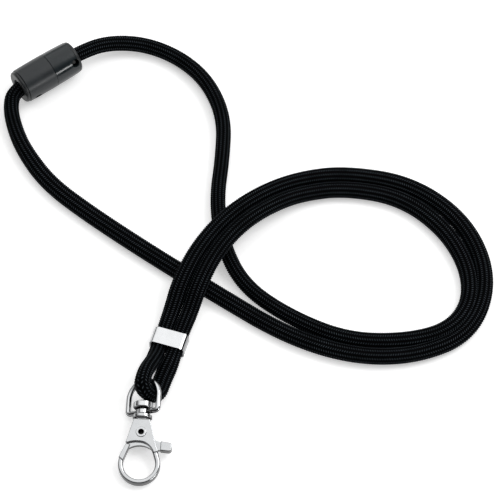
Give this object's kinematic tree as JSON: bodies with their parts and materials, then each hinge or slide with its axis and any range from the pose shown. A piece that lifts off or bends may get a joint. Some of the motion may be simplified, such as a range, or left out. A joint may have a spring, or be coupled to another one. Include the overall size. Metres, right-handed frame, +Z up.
{
  "type": "neck lanyard",
  "caption": "Round braided neck cord with a breakaway connector, a band that holds the strands together, a D-ring, and a swivelling snap hook with a sprung gate.",
  "frame": {"origin": "centre of the strand band's flat underside, on the surface the lanyard lies on", "axes": "+Z up from that surface; +Y from the snap hook past the band towards the connector; +X towards the cord's folded loop"},
  "size_m": [0.1683, 0.173, 0.0127],
  "materials": {
    "cord": "round braid of fine matt yarn",
    "connector": "moulded, softly satin",
    "pin": "moulded",
    "band": "bright plated sheet",
    "hardware": "bright plated casting and wire",
    "spring": "drawn wire"
  },
  "bodies": {
    "strap": {"cord_right": "cord", "cord_bight": "cord", "cord_left": "cord", "cord_tail": "cord", "strand_band": "band", "socket_half": "connector", "socket_end_cap": "connector", "socket_cord_pin": "pin"},
    "plug": {"plug_half": "connector", "plug_end_cap": "connector", "plug_cord_pin": "pin"},
    "ring": {"d_ring": "hardware"},
    "clasp": {"swivel_stud": "hardware", "clasp_body": "hardware", "gate_rivet": "hardware", "gate_spring": "spring"},
    "gate": {"gate_lever": "hardware"}
  },
  "joints": [
    {"name": "breakaway", "type": "slide", "parent": "strap", "child": "plug", "axis": [-0.8192, -0.5736, 0], "range_m": [0, 0.012], "deforming": ["cord_tail"]},
    {"name": "ring_swing", "type": "hinge", "parent": "strap", "child": "ring", "pos_m": [-0.00773, -0.0158, 0.00616], "axis": [-0.834, 0.1111, -0.5405], "range_deg": [0, 45]},
    {"name": "swivel", "type": "hinge", "parent": "ring", "child": "clasp", "pos_m": [-0.0083, -0.0267, 0.0048], "axis": [0.0519, 0.991, 0.1236], "continuous": true},
    {"name": "gate", "type": "hinge", "parent": "clasp", "child": "gate", "pos_m": [-0.00869, -0.03413, 0.00387], "axis": [-0.0065, -0.1234, 0.9923], "range_deg": [0, 25], "stiffness_Nm_per_rad": 0.05, "springref_deg": -8.59, "deforming": ["gate_spring"]}
  ]
}
